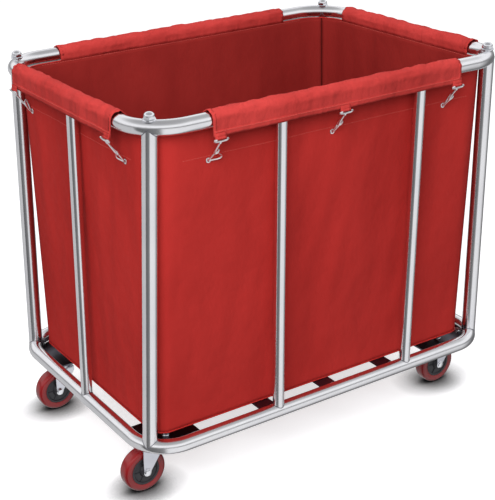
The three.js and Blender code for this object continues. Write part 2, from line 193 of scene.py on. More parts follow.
def cloth_material(name, light, dark):
    """Plain-woven cloth: two sets of threads a little over half a millimetre apart, faded and creased."""
    material = new_material(name, light, 0.86)
    nodes, links, shader = nodes_of(material)
    patches = noise_field(material, 5.0, (1, 1, 0.5), 4.0)
    feed(material, "Base Color", ramp(material, patches, dark, light, 0.36, 0.6))
    feed(material, "Roughness", ramp(material, noise_field(material, 60.0), 0.78, 0.92))
    shader.inputs["Specular IOR Level"].default_value = 0.12
    coordinates = nodes.new("ShaderNodeTexCoord")
    threads = []
    for axes in ((1, 1, 0), (0, 0, 1)):
        mapping = nodes.new("ShaderNodeMapping")
        mapping.inputs["Scale"].default_value = axes
        wave = nodes.new("ShaderNodeTexWave")
        wave.inputs["Scale"].default_value = 260.0
        wave.inputs["Distortion"].default_value = 0.6
        wave.bands_direction = "DIAGONAL" if axes[0] else "Z"
        links.new(coordinates.outputs["Object"], mapping.inputs["Vector"])
        links.new(mapping.outputs["Vector"], wave.inputs["Vector"])
        threads.append(wave.outputs["Fac"])
    weave = nodes.new("ShaderNodeMath")
    weave.operation = "MAXIMUM"
    links.new(threads[0], weave.inputs[0])
    links.new(threads[1], weave.inputs[1])
    bump(material, weave.outputs["Value"], 0.25, 0.0004)
    bump(material, noise_field(material, 9.0, (1, 1, 0.45), 1.5), 0.9, 0.016)
    bump(material, noise_field(material, 42.0, (1, 1, 0.8), 2.0), 0.5, 0.003)
    return material


BRUSHED = steel("brushed_steel", (0.86, 0.86, 0.87), (0.80, 0.80, 0.82), 0.15, (1, 1, 0.05))
# Dark blue-grey steel for the slats: its tone is painted shade and painted dark reflection, not the steel's
# own colour.
SHADED_SLAT_STEEL = steel("slat_steel", (0.13, 0.15, 0.22), (0.07, 0.08, 0.13), 0.38, (1, 0.05, 1))
# Near-black steel for the mount plates: painted shade and painted dark reflection, not the steel's own
# colour.
SHADED_PLATE_STEEL = steel("plate_steel", (0.16, 0.16, 0.19), (0.09, 0.09, 0.11), 0.35, (1, 1, 1))
# The weld beads are real, but their darker steel is painted shade for the crease where a post meets a ring.
WELD = steel("weld_steel", (0.30, 0.30, 0.34), (0.16, 0.15, 0.18), 0.4, (1, 1, 1))
ZINC = steel("zinc", (0.74, 0.75, 0.80), (0.60, 0.61, 0.66), 0.3, (1, 1, 1))
WIRE_ZINC = steel("wire_zinc", (0.95, 0.94, 0.95), (0.86, 0.85, 0.87), 0.28, (1, 1, 1))
CHROME = steel("chrome", (0.86, 0.87, 0.89), (0.80, 0.81, 0.84), 0.08, (1, 1, 1))
CLOTH_RED = cloth_material("red_cloth", (0.56, 0.036, 0.031), (0.48, 0.029, 0.025))
# The flaps get a lighter, less saturated copy of the red cloth: painted light from above and painted sheen.
LIT_FLAP_RED = cloth_material("flap_cloth", (0.60, 0.056, 0.050), (0.51, 0.044, 0.039))
bump(LIT_FLAP_RED, noise_field(LIT_FLAP_RED, 22.0, (1, 1, 0.6), 4.0), 0.9, 0.012)
# A darker copy of the red cloth for the inside of the bag: painted shade.
SHADED_INSIDE_RED = cloth_material("red_lining", (0.35, 0.027, 0.023), (0.29, 0.022, 0.019))
DARK_SEAM = cloth_material("dark_seam", (0.16, 0.014, 0.012), (0.11, 0.010, 0.009))
THREAD = new_material("thread", (0.66, 0.11, 0.09), 0.7)
bump(THREAD, noise_field(THREAD, 900.0), 0.3, 0.0003)
TREAD = new_material("red_tread", (0.30, 0.012, 0.012), 0.18)
feed(TREAD, "Base Color", ramp(TREAD, noise_field(TREAD, 14.0), (0.25, 0.006, 0.008), (0.34, 0.009, 0.011)))
feed(TREAD, "Roughness", ramp(TREAD, noise_field(TREAD, 70.0), 0.14, 0.26))
TREAD.node_tree.nodes["Principled BSDF"].inputs["Coat Weight"].default_value = 0.15
HUB = new_material("black_hub", (0.022, 0.021, 0.025), 0.45)
feed(HUB, "Roughness", ramp(HUB, noise_field(HUB, 120.0), 0.35, 0.55))
bump(HUB, noise_field(HUB, 1500.0), 0.1, 0.0002)


# Mesh code

class Shape:
    """Collects closed and open surfaces, then makes one object of them."""

    def __init__(self):
        self.verts = []
        self.faces = []

    def loft(self, rows, around=True, closed=False, caps=True):
        """Joins rows of points into a skin. around closes each row, and closed joins the last row
        to the first."""
        start = len(self.verts)
        count = len(rows[0])
        for row in rows:
            self.verts.extend(Vector(point) for point in row)
        for r in range(len(rows) if closed else len(rows) - 1):
            here = start + r * count
            there = start + ((r + 1) % len(rows)) * count
            for i in range(count if around else count - 1):
                j = (i + 1) % count
                self.faces.append((here + i, here + j, there + j, there + i))
        if caps and around and not closed:
            self.faces.append(tuple(start + i for i in reversed(range(count))))
            last = start + (len(rows) - 1) * count
            self.faces.append(tuple(last + i for i in range(count)))
        return self

    def sweep(self, points, radius, sides=24, closed=False):
        """A round bar along a path. radius is one number, or one for each point."""
        points = [Vector(p) for p in points]
        count = len(points)
        radii = radius if hasattr(radius, "__len__") else [radius] * count
        tangents = []
        for i in range(count):
            before = points[i - 1] if closed or i else points[i]
            after = points[(i + 1) % count] if closed or i < count - 1 else points[i]
            tangents.append((after - before).normalized())
        side = tangents[0].orthogonal().normalized()
        rows = []
        for point, tangent, r in zip(points, tangents, radii):
            side = (side - tangent * side.dot(tangent)).normalized()
            across = tangent.cross(side)
            angles = [2 * math.pi * k / sides for k in range(sides)]
            rows.append([point + r * (side * math.cos(a) + across * math.sin(a)) for a in angles])
        return self.loft(rows, closed=closed)

    def lathe(self, profile, centre, axis=(0, 0, 1), sides=48, flutes=None, closed=False):
        """A turned body from [radius, distance along the axis] pairs. flutes=6 makes a hexagon of it."""
        axis = Vector(axis).normalized()
        turn = Vector((0, 0, 1)).rotation_difference(axis)
        rows = []
        for radius, along in profile:
            radius = max(radius, 1e-6)
            row = []
            for k in range(flutes or sides):
                angle = 2 * math.pi * k / (flutes or sides)
                spoke = Vector((radius * math.cos(angle), radius * math.sin(angle), along))
                row.append(Vector(centre) + turn @ spoke)
            rows.append(row)
        return self.loft(rows, closed=closed)

    def slab(self, outline, bottom, top, place=Matrix.Identity(4)):
        """A flat plate from its outline in X and Y."""
        rows = [[place @ Vector((x, y, z)) for x, y in outline] for z in (bottom, top)]
        return self.loft(rows)

    def make(self, name, material, body, slot, bevel=None, replaces=(), sharp=35):
        mesh = bpy.data.meshes.new(name)
        mesh.from_pydata([tuple(v) for v in self.verts], [], self.faces)
        mesh.validate()
        mesh.polygons.foreach_set("use_smooth", [True] * len(mesh.polygons))
        mesh.set_sharp_from_angle(angle=math.radians(sharp))
        mesh.materials.append(material)
        piece = bpy.data.objects.new(name, mesh)
        bpy.context.scene.collection.objects.link(piece)
        if bevel:
            modifier = piece.modifiers.new("edges", "BEVEL")
            modifier.width = bevel
            modifier.segments = 2
            modifier.limit_method = "ANGLE"
            modifier.angle_limit = math.radians(40)
        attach(piece, body)
        if replaces:
            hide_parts(*replaces)
        return piece


def arc(centre, radius, start, end, steps):
    """Points in a plane on an arc, angles in degrees."""
    angles = [math.radians(start + (end - start) * k / steps) for k in range(steps + 1)]
    return [(centre[0] + radius * math.cos(a), centre[1] + radius * math.sin(a)) for a in angles]


def rounded_rectangle(half_x, half_y, radius, steps=5):
    points = []
    for k, (sx, sy) in enumerate([(1, 1), (-1, 1), (-1, -1), (1, -1)]):
        centre = (sx * (half_x - radius), sy * (half_y - radius))
        points.extend(arc(centre, radius, 90 * k, 90 * k + 90, steps))
    return points


# Frame

def frame_rings():
    for ring, node in ((RAIL, "top_ring"), (BASE, "base_ring")):
        Shape().sweep(ring.path(), TUBE, 40, closed=True).make(
            node + "_tube", BRUSHED, "frame", "brushed_steel", replaces=[node], sharp=80)


def saddle(ring, foot, top, radius, way):
    """The curve where a post meets a ring, a closed loop round the post."""
    points = []
    lean = (top - foot) / (top.z - foot.z)
    for k in range(40):
        angle = 2 * math.pi * k / 40
        x = radius * math.cos(angle)
        y = radius * math.sin(angle)
        at = foot if way > 0 else top
        out = ring.offset(at.x + x, at.y + y)
        rise = way * math.sqrt(max(TUBE ** 2 - out ** 2, 0))
        points.append(at + lean * rise + Vector((x, y, 0)))
    return points


def post(name, foot, top, radius):
    Shape().sweep([foot, top], radius, 36).make(
        name + "_tube", BRUSHED, "frame", "brushed_steel", replaces=[name], sharp=60)
    # Weld beads round both ends of the post, in darker steel that is painted shade for the crease at each
    # joint.
    bead = Shape()
    bead.sweep(saddle(BASE, foot, top, radius, 1), 0.8 * MM, 8, closed=True)
    bead.sweep(saddle(RAIL, foot, top, radius, -1), 0.8 * MM, 8, closed=True)
    bead.make(name + "_welds", WELD, "frame", "brushed_steel")


def posts():
    for name, (sx, sy) in CORNERS.items():
        post("corner_post_" + name, BASE.bend_point(sx, sy, POST_FOOT_ANGLE),
             RAIL.bend_point(sx, sy, POST_TOP_ANGLE), TUBE)
    for name in ("post_left", "post_right", "post_front_1", "post_front_2", "post_back_1", "post_back_2"):
        low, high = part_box(name)
        middle = (low + high) / 2
        if name in ("post_left", "post_right"):
            sign = math.copysign(1, middle.x)
            foot = Vector((sign * BASE.half_length, middle.y, BASE.z))
            top = Vector((sign * RAIL.half_length, middle.y, RAIL.z))
        else:
            sign = math.copysign(1, middle.y)
            foot = Vector((middle.x, sign * BASE.half_width, BASE.z))
            top = Vector((middle.x, sign * RAIL.half_width, RAIL.z))
        post(name, foot, top, SIDE_POST)


def acorn_nuts():
    for name, (sx, sy) in CORNERS.items():
        seat = RAIL.bend_point(sx, sy, POST_TOP_ANGLE)
        seat.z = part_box("top_ring")[1].z
        flange = [(4 * MM, -1.5 * MM), (13 * MM, -1.5 * MM), (13.5 * MM, 0.6 * MM), (12.4 * MM, 1.8 * MM),
                  (4 * MM, 2 * MM)]
        dome = [(11 * MM, 5.5 * MM)]
        dome += [(11 * MM * math.cos(a), (7.5 + 8 * math.sin(a)) * MM)
                 for a in [math.radians(9 * k) for k in range(11)]]
        hexagon = [(11.6 * MM, 1.8 * MM), (12.8 * MM, 2.6 * MM), (12.8 * MM, 6.6 * MM), (11.4 * MM, 8 * MM)]
        nut = Shape().lathe(flange, seat).lathe(dome, seat)
        nut.lathe(hexagon, seat, flutes=6)
        nut.make("nut_" + name, CHROME, "frame", "chrome", replaces=["acorn_nut_" + name])


def slats_and_plates():
    for node in ("slat_left", "slat_middle", "slat_right"):
        low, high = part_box(node)
        outline = rounded_rectangle((high.x - low.x) / 2, (high.y - low.y) / 2, 1 * MM, 2)
        place = Matrix.Translation(((low + high) / 2).to_2d().to_3d())
        # The slats get the dark blue-grey steel: painted shade and painted dark reflection.
        Shape().slab(outline, low.z, high.z, place).make(
            node + "_bar", SHADED_SLAT_STEEL, "frame", "brushed_steel", bevel=0.8 * MM, replaces=[node])
    for name in CORNERS:
        plate = frame["nodes"]["mount_plate_" + name]
        # The mount plates get the near-black steel: painted shade and painted dark reflection.
        plate.data.materials.clear()
        plate.data.materials.append(SHADED_PLATE_STEEL)
        modifier = plate.modifiers.new("edges", "BEVEL")
        modifier.width = 0.6 * MM
        modifier.limit_method = "ANGLE"


# Casters

def caster_plate(name, swivel):
    low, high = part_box(f"caster_{name}_plate")
    top = high.z
    place = Matrix.Translation(swivel)
    race = top - 3.5 * MM
    outline = rounded_rectangle((high.x - low.x) / 2, (high.y - low.y) / 2, 8 * MM)
    shape = Shape().slab(outline, race, top, place)
    shape.lathe([(26 * MM, race + 0.5 * MM), (25 * MM, race - 2 * MM), (24 * MM, race - 4.6 * MM),
                 (20 * MM, race - 4.9 * MM), (19 * MM, race)], swivel)
    shape.make(f"plate_{name}", ZINC, "frame", "zinc", bevel=0.5 * MM, replaces=[f"caster_{name}_plate"])
    bolts = Shape()
    for x in (low.x + 8 * MM, high.x - 8 * MM):
        for y in (low.y + 8 * MM, high.y - 8 * MM):
            spot = Vector((x, y, 0))
            head = top + 4.2 * MM
            bolts.lathe([(4 * MM, top - 9 * MM), (4 * MM, head)], spot, sides=16)
            bolts.lathe([(7 * MM, top - 3.5 * MM), (7.5 * MM, top - 4.2 * MM), (7.5 * MM, top - 8.5 * MM),
                         (6.5 * MM, top - 9.2 * MM)], spot, flutes=6)
            bolts.lathe([(8.6 * MM, head), (8.6 * MM, head + 1.2 * MM)], spot, sides=24)
            bolts.lathe([(7.5 * MM, head + 1.2 * MM), (7.5 * MM, head + 5 * MM), (6.4 * MM, head + 5.8 * MM)],
                        spot, flutes=6)
    bolts.make(f"plate_bolts_{name}", CHROME, "frame", "zinc", bevel=0.3 * MM)


def caster_fork(name, swivel):
    low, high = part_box(f"caster_{name}_fork")
    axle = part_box(f"caster_{name}_tread")
    axle_x = (axle[0].x + axle[1].x) / 2 - swivel.x
    radius = (axle[1].z - axle[0].z) / 2
    crown = 104 * MM
    half = (high.y - low.y) / 2
    leg = [(axle_x - 8 * MM, crown + 3.5 * MM), (axle_x - 8 * MM, radius)]
    leg += arc((axle_x, radius), 8 * MM, 180, 325, 8)
    leg += [(axle_x + 42 * MM, crown - 6 * MM), (axle_x + 42 * MM, crown + 3.5 * MM)]
    shape = Shape()
    for side in (-1, 1):
        upright = Matrix.Translation(swivel) @ Matrix.Rotation(math.radians(90), 4, "X")
        inner = half - 3 * MM
        shape.slab(leg, -side * inner, -side * half, upright)
    middle = Matrix.Translation(swivel + Vector((axle_x + 17 * MM, 0, 0)))
    shape.slab(rounded_rectangle(25 * MM, half, 5 * MM), crown, crown + 4 * MM, middle)
    top = high.z
    shape.lathe([(16 * MM, crown + 3.9 * MM), (23 * MM, crown + 3.9 * MM), (24 * MM, crown + 7 * MM),
                 (23.6 * MM, top - 1 * MM), (21 * MM, top), (16 * MM, top)], swivel)
    shape.lathe([(9 * MM, crown - 2.8 * MM), (9.6 * MM, crown - 2 * MM), (9.6 * MM, crown + 0.2 * MM)],
                swivel, flutes=6)
    shape.make(f"fork_{name}", ZINC, f"swivel_{name}", "zinc", bevel=0.9 * MM,
               replaces=[f"caster_{name}_fork"])
    bolt = Shape()
    centre = swivel + Vector((axle_x, 0, radius))
    across = (0, 1, 0)
    bolt.lathe([(4.8 * MM, -half - 1 * MM), (4.8 * MM, half + 1 * MM)], centre, across, 24)
    for side in (-1, 1):
        bolt.lathe([(9 * MM, side * half), (9 * MM, side * (half + 1.2 * MM))], centre, across, 32)
        bolt.lathe([(7.6 * MM, side * (half + 1.2 * MM)), (7.6 * MM, side * (half + 4.4 * MM)),
                    (6.4 * MM, side * (half + 5 * MM))], centre, across, flutes=6)
    bolt.make(f"axle_{name}", CHROME, f"swivel_{name}", "zinc", bevel=0.3 * MM,
              replaces=[f"caster_{name}_axle"])


def caster_wheel(name):
    low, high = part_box(f"caster_{name}_tread")
    centre = (low + high) / 2
    outer = (high.z - low.z) / 2
    half = (high.y - low.y) / 2
    hub = 33 * MM
    shoulder = 9 * MM
    profile = [(hub + 0.2 * MM, -half + 1.5 * MM), (hub + 3 * MM, -half + 0.4 * MM),
               (outer - shoulder, -half)]
    profile += arc((outer - shoulder, -half + shoulder), shoulder, -90, 0, 8)[1:]
    profile += arc((outer - shoulder, half - shoulder), shoulder, 0, 90, 8)
    profile += [(hub + 3 * MM, half - 0.4 * MM), (hub + 0.2 * MM, half - 1.5 * MM)]
    tread = Shape()
    tread.lathe(profile, centre, (0, 1, 0), 96, closed=True)
    tread.make(f"tread_{name}", TREAD, f"wheel_{name}", "red_tread", replaces=[f"caster_{name}_tread"])
    wheel = Shape()
    face = half - 1.2 * MM
    for side in (-1, 1):
        disc = [(hub, 0), (hub, side * face), (hub - 2.5 * MM, side * (face + 0.4 * MM)),
                (hub - 5 * MM, side * face), (hub - 6 * MM, side * (face - 2.2 * MM)),
                (15 * MM, side * (face - 2.2 * MM)), (13.5 * MM, side * (face + 1 * MM)),
                (11 * MM, side * (half + 2 * MM)), (5 * MM, side * (half + 2 * MM))]
        wheel.lathe(disc, centre, (0, 1, 0), 72)
        for k in range(6):
            turn = Matrix.Translation(centre) @ Matrix.Rotation(math.radians(60 * k), 4, "Y")
            rib = [(14 * MM, -1 * MM), (hub - 5.5 * MM, -1 * MM), (hub - 5.5 * MM, 1 * MM), (14 * MM, 1 * MM)]
            stand = turn @ Matrix.Rotation(math.radians(90), 4, "X")
            wheel.slab(rib, -side * (face - 3 * MM), -side * (face - 0.6 * MM), stand)
    wheel.make(f"hub_{name}", HUB, f"wheel_{name}", "black_hub", bevel=0.4 * MM,
               replaces=[f"caster_{name}_hub"])


def casters():
    joints = {joint["name"]: joint for joint in frame["joints"]}
    for name in CORNERS:
        at = joints[f"swivel_{name}_turn"]["pos_m"]
        swivel = Vector((at[0], at[1], 0))
        caster_plate(name, swivel)
        caster_fork(name, swivel)
        caster_wheel(name)


# Bag

class Panel:
    """One side of the bag, drawn as if it faced +Y and then turned to its place.

    A place on it is a station along it and a height. Stations from 0 to 1 run from one vertical corner's
    diagonal to the other's, and those on the straight are at a share of the rail's straight.
    """

    def __init__(self, name, turn, bag_out, bag_run, rail_out, rail_run, flap):
        self.name = name
        self.turn = Matrix.Rotation(math.radians(turn), 3, "Z")
        self.bag_out = bag_out
        self.bag_run = bag_run - BAG_BEND
        self.rail_out = rail_out
        self.rail_run = rail_run - RAIL_BEND
        self.flap = flap

    def lean(self, z):
        share = min(max((z - SLANT_Z) / (RIM_Z - SLANT_Z), 0), 1)
        return share * share * (3 - 2 * share) * 0.15 + share * 0.85

    def out(self, z):
        inner = self.rail_out - TUBE - FLAP_GAP
        return self.bag_out + (inner - self.bag_out) * self.lean(z)

    def place(self, station, z, outward=0.0):
        """A point of the wall. station is ("arc", side, angle) or ("run", share)."""
        lean = self.lean(z)
        radius = BAG_BEND + (RAIL_BEND - TUBE - FLAP_GAP - BAG_BEND) * lean
        run = self.bag_run + (self.rail_run - self.bag_run) * lean
        out = self.out(z)
        if station[0] == "arc":
            _, side, angle = station
            a = side * (run + (radius + outward) * math.sin(angle))
            o = out - radius + (radius + outward) * math.cos(angle)
        else:
            a = station[1] * run
            o = out + outward
        return self.turn @ Vector((a, o, z))

    def stations(self, spacing=9 * MM, arc_steps=7):
        """Stations along the wall, with one at each end of the flap."""
        half = math.radians(45)
        found = [("arc", -1, half * (1 - k / arc_steps)) for k in range(arc_steps)]
        marks = [-self.rail_run, self.flap[0], self.flap[1], self.rail_run]
        for start, end in zip(marks, marks[1:]):
            count = max(2, round((end - start) / spacing))
            found += [("run", (start + (end - start) * k / count) / self.rail_run) for k in range(count)]
        found.append(("run", 1.0))
        found += [("arc", 1, half * (k + 1) / arc_steps) for k in range(arc_steps)]
        return found

    def relief(self, station, z):
        """How far the cloth stands out from its plain surface: slack in the middle, with long folds
        and creases."""
        share = station[1]
        height = min(max((z - BAG_FLOOR_Z) / (RIM_Z - BAG_FLOOR_Z), 0), 1)
        run = share * self.rail_run
        free = min(1, (1 - abs(share)) * 6 + 0.15) if station[0] == "run" else 0.1
        slack = math.sin(math.pi * height) * (1 - abs(share) ** 4)
        free *= min(1, 0.12 + height * 9)
        side = self.bag_out * 40
        long_folds = noise.noise(Vector((run * 7, side, z * 1.1))) * 6.5 * MM
        creases = abs(noise.noise(Vector((run * 17 + z * 3, side + 4, z * 2.4)))) * -5.0 * MM
        ripples = noise.noise(Vector((run * 38, side + 9, z * 16))) * 0.8 * MM
        return slack * 4 * MM + ((long_folds + creases) * (0.4 + 0.6 * slack) + ripples) * free


LONG_SIDE = (BAG_HALF_WIDTH, BAG_HALF_LENGTH, RAIL.half_width, RAIL.half_length)
SHORT_SIDE = (BAG_HALF_LENGTH, BAG_HALF_WIDTH, RAIL.half_length, RAIL.half_width)
PANELS = [
    Panel("back", 0, *LONG_SIDE, (-318 * MM, 311 * MM)),
    Panel("front", 180, *LONG_SIDE, (-311 * MM, 318 * MM)),
    Panel("left", 90, *SHORT_SIDE, (-222 * MM, 222 * MM)),
    Panel("right", -90, *SHORT_SIDE, (-222 * MM, 222 * MM)),
]


def flap_profile(panel, run):
    """Points over the rail from the wall's rim to the hem, as (out, height), puckered and a little wavy."""
    near = TUBE + FLAP_GAP + CLOTH / 2
    side = panel.bag_out * 70
    waves = noise.noise(Vector((run * 16, side, 3))) * 1.2 * MM
    points = [(panel.rail_out - near, RIM_Z), (panel.rail_out - near, RIM_Z + (RAIL.z - RIM_Z) * 0.5)]
    steps = 18
    for k, (x, z) in enumerate(arc((0, 0), 1, 180, 0, steps)):
        pucker = abs(noise.noise(Vector((run * 26, side, k * 0.35)))) * 5.0
        pucker += abs(noise.noise(Vector((run * 70, side, k)))) * 1.6
        grow = near + pucker * MM * math.sin(math.pi * k / steps) ** 0.5 if 0 < k < steps else near
        points.append((panel.rail_out + x * grow, RAIL.z + z * grow))
    for k in range(1, 7):
        drop = HEM_DROP * k / 6
        points.append((panel.rail_out + near + (1.4 * MM + waves) * k / 6, RAIL.z - drop))
    return points


def wall_heights():
    return [BAG_FLOOR_Z + (RIM_Z - BAG_FLOOR_Z) * k / WALL_ROWS for k in range(WALL_ROWS + 1)]


def bag_panel(panel):
    """One wall and its flap as one cloth, red outside; the inside is a darker copy of the cloth, painted
    shade, and the flap a lighter copy, painted light.
    """
    stations = panel.stations()
    heights = wall_heights()
    shape = Shape()
    rows = []
    for z in heights:
        fade = min(1, (RIM_Z - z) / (30 * MM))
        rows.append([panel.place(s, z, panel.relief(s, z) * fade) for s in stations])
    shape.loft(rows, around=False)
    inside = [s for s in stations if s[0] == "run"
              and panel.flap[0] - 1e-6 <= s[1] * panel.rail_run <= panel.flap[1] + 1e-6]
    profiles = [flap_profile(panel, s[1] * panel.rail_run) for s in inside]
    over = []
    for k in range(len(profiles[0])):
        over.append([panel.turn @ Vector((s[1] * panel.rail_run, p[k][0], p[k][1]))
                     for s, p in zip(inside, profiles)])
    shape.loft(over, around=False)
    wall = shape.make(f"bag_{panel.name}_cloth", CLOTH_RED, "frame", "red_cloth",
                      replaces=[f"bag_{panel.name}"], sharp=180)
    weld = wall.modifiers.new("join", "WELD")
    weld.merge_threshold = 0.5 * MM
    wall.data.materials.append(SHADED_INSIDE_RED)
    wall.data.materials.append(LIT_FLAP_RED)
    in_wall = (len(stations) - 1) * (len(heights) - 1)
    # Wall faces take the darker inside copy (painted shade), flap faces the lighter flap copy (painted
    # light); the solidified back of each takes the material before it.
    for polygon in wall.data.polygons:
        polygon.material_index = 1 if polygon.index < in_wall else 2
    solidify = wall.modifiers.new("cloth", "SOLIDIFY")
    solidify.thickness = CLOTH
    solidify.offset = 0
    solidify.material_offset = -1
    return wall, inside, profiles


def hem(panel, inside, profiles):
    """The doubled edge of a flap: along its ends and its lower edge."""
    shape = Shape()
    grow = 0.6 * MM
    bottom = []
    for rise in (0, 4, 8, 12):
        row = []
        for s, p in zip(inside, profiles):
            out, z = p[-1]
            row.append(panel.turn @ Vector((s[1] * panel.rail_run, out + grow, z + rise * MM)))
        bottom.append(row)
    shape.loft(bottom, around=False)
    for s, p in ((inside[0], profiles[0]), (inside[-1], profiles[-1])):
        sign = -1 if s is inside[0] else 1
        rows = []
        for inward in (0, 4, 8):
            row = []
            for out, z in p[2:]:
                centre = Vector((panel.rail_out, RAIL.z))
                away = Vector((out, max(z, RAIL.z))) - centre
                away = away.normalized() * grow
                a = s[1] * panel.rail_run - sign * inward * MM
                row.append(panel.turn @ Vector((a, out + away.x, z + away.y)))
            rows.append(row)
        shape.loft(rows, around=False)
    # The hem is made of the flap's lighter copy of the cloth, painted light.
    piece = shape.make(f"flap_hem_{panel.name}", LIT_FLAP_RED, "frame", "red_cloth", sharp=180)
    solidify = piece.modifiers.new("cloth", "SOLIDIFY")
    solidify.thickness = 0.7 * MM
    solidify.offset = 0
    return piece


def stitches(shape, points, length=4 * MM, gap=2.4 * MM, radius=0.5 * MM):
    """Short threads along a path."""
    left = length
    drawing = True
    piece = [points[0]]
    for a, b in zip(points, points[1:]):
        while (b - a).length > left:
            a = a + (b - a).normalized() * left
            if drawing:
                piece.append(a)
                shape.sweep(piece, radius, 5)
            drawing = not drawing
            piece = [a]
            left = length if drawing else gap
        left -= (b - a).length
        if drawing:
            piece.append(b)


def seams(panel, inside, profiles):
    """Stitched lines: along the hem, below the flap outside, and just under the rim inside."""
    shape = Shape()
    line = []
    for s, p in zip(inside, profiles):
        out, z = p[-1]
        line.append(panel.turn @ Vector((s[1] * panel.rail_run, out + 1.2 * MM, z + HEM_STITCH_RISE)))
    stitches(shape, line)
    runs = [s for s in panel.stations() if s[0] == "run"]
    outside = CLOTH / 2 + 0.2 * MM
    stitches(shape, [panel.place(s, SEAM_Z, panel.relief(s, SEAM_Z) + outside) for s in runs])
    within = CLOTH / 2 + 0.3 * MM
    stitches(shape, [panel.place(s, RIM_Z - 3 * MM, panel.relief(s, RIM_Z) * 0.1 - within) for s in runs])
    return shape.make(f"stitches_{panel.name}", THREAD, "frame", "red_cloth")


def bag_floor():
    shape = Shape()
    rings = []
    z = BAG_FLOOR_Z + 1.2 * MM
    outline = rounded_rectangle(BAG_HALF_LENGTH - CLOTH / 4, BAG_HALF_WIDTH - CLOTH / 4, BAG_BEND, 6)
    for share in [k / FLOOR_RINGS for k in range(FLOOR_RINGS + 1)]:
        row = []
        grow = max(share, FLOOR_CENTRE)
        for x, y in outline:
            where = Vector((x * grow, y * grow, 0))
            row.append(where + Vector((0, 0, z + abs(noise.noise(where * 9)) * 3 * MM * (1 - share ** 6))))
        rings.append(row)
    shape.loft(rings, caps=False)
    shape.faces.append(tuple(reversed(range(len(rings[0])))))
    floor = shape.make("bag_floor_cloth", CLOTH_RED, "frame", "red_cloth", replaces=["bag_floor"], sharp=180)
    solidify = floor.modifiers.new("cloth", "SOLIDIFY")
    solidify.thickness = CLOTH
    solidify.offset = 0
    return floor


def corner_seams():
    """The rolled seam up each vertical corner, inside the bag."""
    shape = Shape()
    for panel in PANELS[:2]:
        for side in (-1, 1):
            corner = ("arc", side, math.radians(45))
            line = [panel.place(corner, z, -CLOTH - 1.0 * MM) for z in wall_heights()]
            shape.sweep(line, 1.6 * MM, 10)
    return shape.make("bag_corner_seams", DARK_SEAM, "frame", "red_cloth")


def edge_seams():
    """The rolled seams along the bag's bottom edge and round its rim between the flaps."""
    shape = Shape()
    for panel in PANELS:
        low_edge = BAG_FLOOR_Z + 1.5 * MM
        stations = panel.stations()
        foot = [panel.place(s, low_edge, panel.relief(s, BAG_FLOOR_Z) + 0.4 * MM) for s in stations]
        shape.sweep(foot, 1.6 * MM, 8)
        for side, end in ((-1, panel.flap[0]), (1, panel.flap[1])):
            bare = [s for s in stations if (s[1] * side > 0 and
                                            (s[0] == "arc" or abs(s[1] * panel.rail_run) >= abs(end) - 1e-6))]
            shape.sweep([panel.place(s, RIM_Z, -0.2 * MM) for s in bare], 1.5 * MM, 8)
    return shape.make("bag_edge_seams", CLOTH_RED, "frame", "red_cloth")


def tabs(panel):
    """Short cloth loops under the hem, one round the yoke of each hook."""
    shape = Shape()
    for joint in frame["joints"]:
        if not joint["child"].startswith(f"hook_{panel.name}"):
            continue
        pivot = panel.turn.inverted() @ Vector(joint["pos_m"])
        hem_z = RAIL.z - HEM_DROP
        top = pivot.z + 2.9 * MM
        side = [(-0.6, hem_z + 7 * MM), (-0.6, hem_z), (-1.2, top + 1.5 * MM), (-0.8, top + 0.3 * MM),
                (0, top), (0.8, top + 0.3 * MM), (1.2, top + 1.5 * MM), (0.6, hem_z)]
        across = (-12.5, -6, 0, 6, 12.5)
        rows = [[panel.turn @ Vector((pivot.x + x * MM, pivot.y + y * MM, z)) for x in across]
                for y, z in side]
        shape.loft(rows, around=False)
    # The tabs are made of the flap's lighter copy of the cloth, painted light.
    piece = shape.make(f"flap_tabs_{panel.name}", LIT_FLAP_RED, "frame", "red_cloth", sharp=180)
    solidify = piece.modifiers.new("cloth", "SOLIDIFY")
    solidify.thickness = 0.8 * MM
    solidify.offset = 0
    return piece


def bag():
    shared = [corner_seams(), edge_seams()]
    for panel in PANELS:
        wall, inside, profiles = bag_panel(panel)
        edge = hem(panel, inside, profiles)
        thread = seams(panel, inside, profiles)
        [edge, thread, tabs(panel)] + (shared if panel.name == "front" else [])
    floor = bag_floor()


# Hooks

